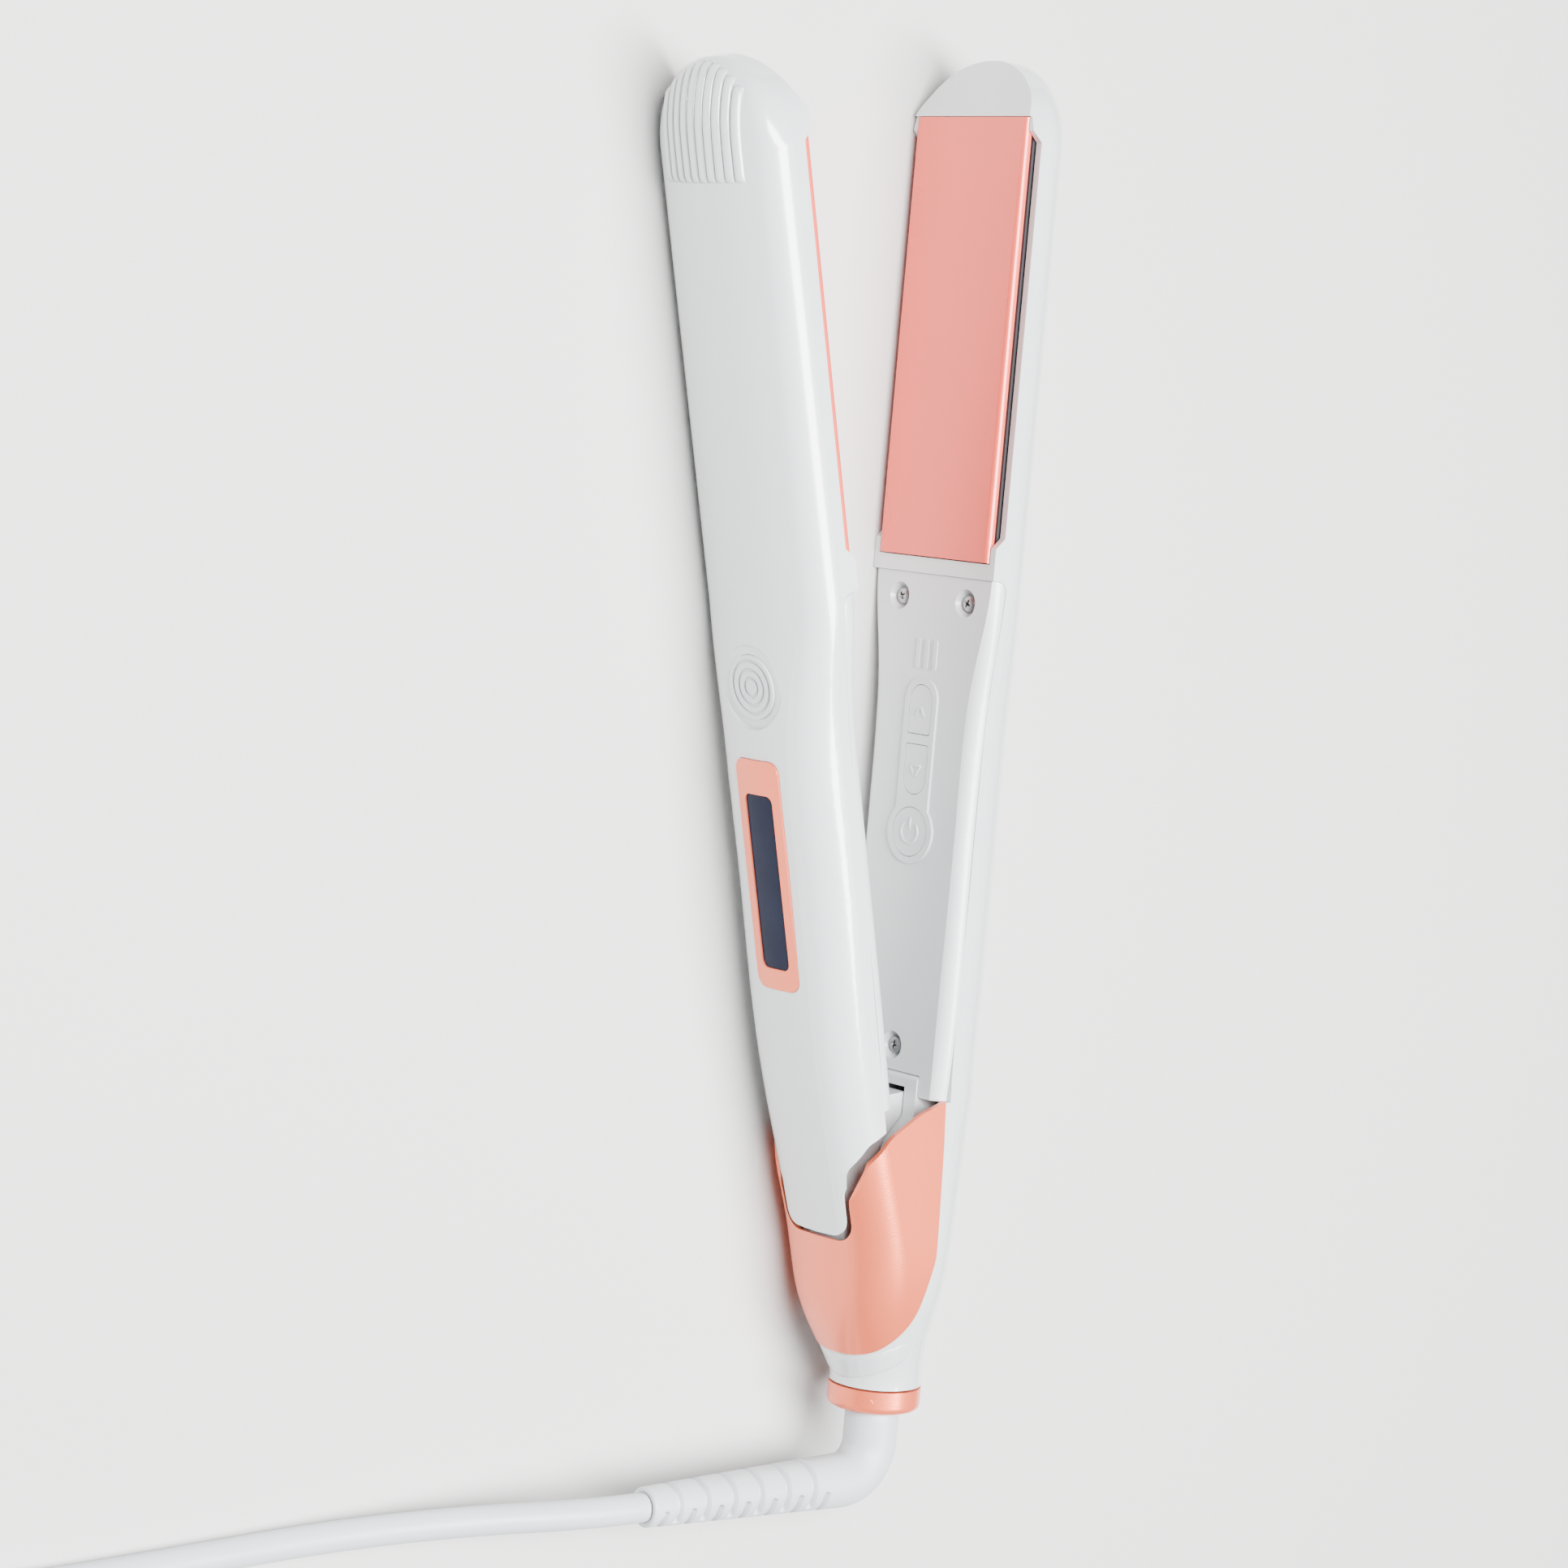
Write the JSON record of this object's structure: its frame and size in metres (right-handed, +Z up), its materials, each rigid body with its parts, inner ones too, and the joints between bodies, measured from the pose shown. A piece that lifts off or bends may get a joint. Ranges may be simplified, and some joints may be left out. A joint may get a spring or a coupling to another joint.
{
  "type": "hair straightener",
  "caption": "Hair straightener lying open on its side, with floating heated plates, buttons under the plate, a display window, a lock ring and a swivel cord.",
  "frame": {"origin": "on the surface the iron lies on, below the middle of the open iron's box without its cord", "axes": "+Z up, along the hinge pin; +Y from the cord end to the tips; +X from the display arm to the control arm"},
  "size_m": [0.2865, 0.4094, 0.036],
  "materials": {
    "white_shell": "satin white lacquer",
    "white_cover": "fine matte white plastic",
    "rose_paint": "satin rose gold metallic paint",
    "rose_plate": "smooth rose gold ceramic coating",
    "screw_steel": "zinc plated",
    "aluminium": "pressed sheet",
    "heater": "ceramic",
    "carrier_plastic": "moulded heat resistant plastic",
    "silicone": "silicone",
    "board_green": "solder mask",
    "window_dark": "polished tinted plastic",
    "display_glass": "glass faced module",
    "cord_white": "matte PVC",
    "plug_white": "moulded PVC",
    "brass_blade": "bright"
  },
  "bodies": {
    "control_arm": {"control_arm_shell": "white_shell", "control_inner_cover": "white_cover", "control_cover_screws": "screw_steel", "control_plate_carrier": "carrier_plastic", "control_heater_leads": "silicone", "button_board": "board_green", "tact_switches": "carrier_plastic", "hinge_housing": "rose_paint", "hinge_bracket": "white_cover", "hinge_pin": "screw_steel", "hinge_clip": "screw_steel", "opening_spring": "screw_steel", "swivel_bush": "carrier_plastic"},
    "display_arm": {"display_arm_shell": "white_shell", "display_inner_cover": "white_cover", "display_cover_screws": "screw_steel", "display_plate_carrier": "carrier_plastic", "display_heater_leads": "silicone", "display_bezel": "rose_paint", "display_window": "window_dark", "display_module": "display_glass", "display_board": "board_green", "thumb_disc": "white_cover", "hinge_knuckle": "white_cover"},
    "control_plate": {"control_plate": "rose_plate", "control_heater": "heater", "control_heater_clamp": "aluminium", "control_plate_cushions": "silicone", "thermal_fuse": "carrier_plastic"},
    "display_plate": {"display_plate": "rose_plate", "display_heater": "heater", "display_heater_clamp": "aluminium", "display_plate_cushions": "silicone", "thermistor": "carrier_plastic"},
    "up_button": {"up_button": "white_cover"},
    "down_button": {"down_button": "white_cover"},
    "power_button": {"power_button": "white_cover"},
    "lock_ring": {"lock_ring": "rose_paint"},
    "cord": {"swivel_stem": "cord_white", "cord_guard": "cord_white", "power_cord": "cord_white", "cord_coil": "cord_white", "cord_tail": "cord_white", "plug_relief": "cord_white", "plug_body": "plug_white", "plug_blades": "brass_blade"}
  },
  "joints": [
    {"name": "arm_hinge", "type": "hinge", "parent": "control_arm", "child": "display_arm", "pos_m": [0.02232, -0.10593, 0.018], "axis": [0, 0, -1], "range_deg": [0, 14.36], "stiffness_Nm_per_rad": 0.3, "springref_deg": -28.65},
    {"name": "control_plate_float", "type": "slide", "parent": "control_arm", "child": "control_plate", "axis": [1, 0, 0], "range_m": [0, 0.0008], "stiffness_N_per_m": 2000, "springref_m": -0.0005},
    {"name": "display_plate_float", "type": "slide", "parent": "display_arm", "child": "display_plate", "axis": [-0.9688, -0.248, 0], "range_m": [0, 0.0008], "stiffness_N_per_m": 2000, "springref_m": -0.0005},
    {"name": "up_button_press", "type": "slide", "parent": "control_arm", "child": "up_button", "axis": [1, 0, 0], "range_m": [0, 0.0006], "stiffness_N_per_m": 1500, "springref_m": -0.0005},
    {"name": "down_button_press", "type": "slide", "parent": "control_arm", "child": "down_button", "axis": [1, 0, 0], "range_m": [0, 0.0006], "stiffness_N_per_m": 1500, "springref_m": -0.0005},
    {"name": "power_button_press", "type": "slide", "parent": "control_arm", "child": "power_button", "axis": [1, 0, 0], "range_m": [0, 0.0006], "stiffness_N_per_m": 1500, "springref_m": -0.0005},
    {"name": "lock_ring_twist", "type": "hinge", "parent": "control_arm", "child": "lock_ring", "pos_m": [0.0332, -0.1377, 0.018], "axis": [0, 1, 0], "range_deg": [0, 45]},
    {"name": "cord_swivel", "type": "hinge", "parent": "control_arm", "child": "cord", "pos_m": [0.0332, -0.1316, 0.018], "axis": [0, 1, 0], "continuous": true}
  ]
}
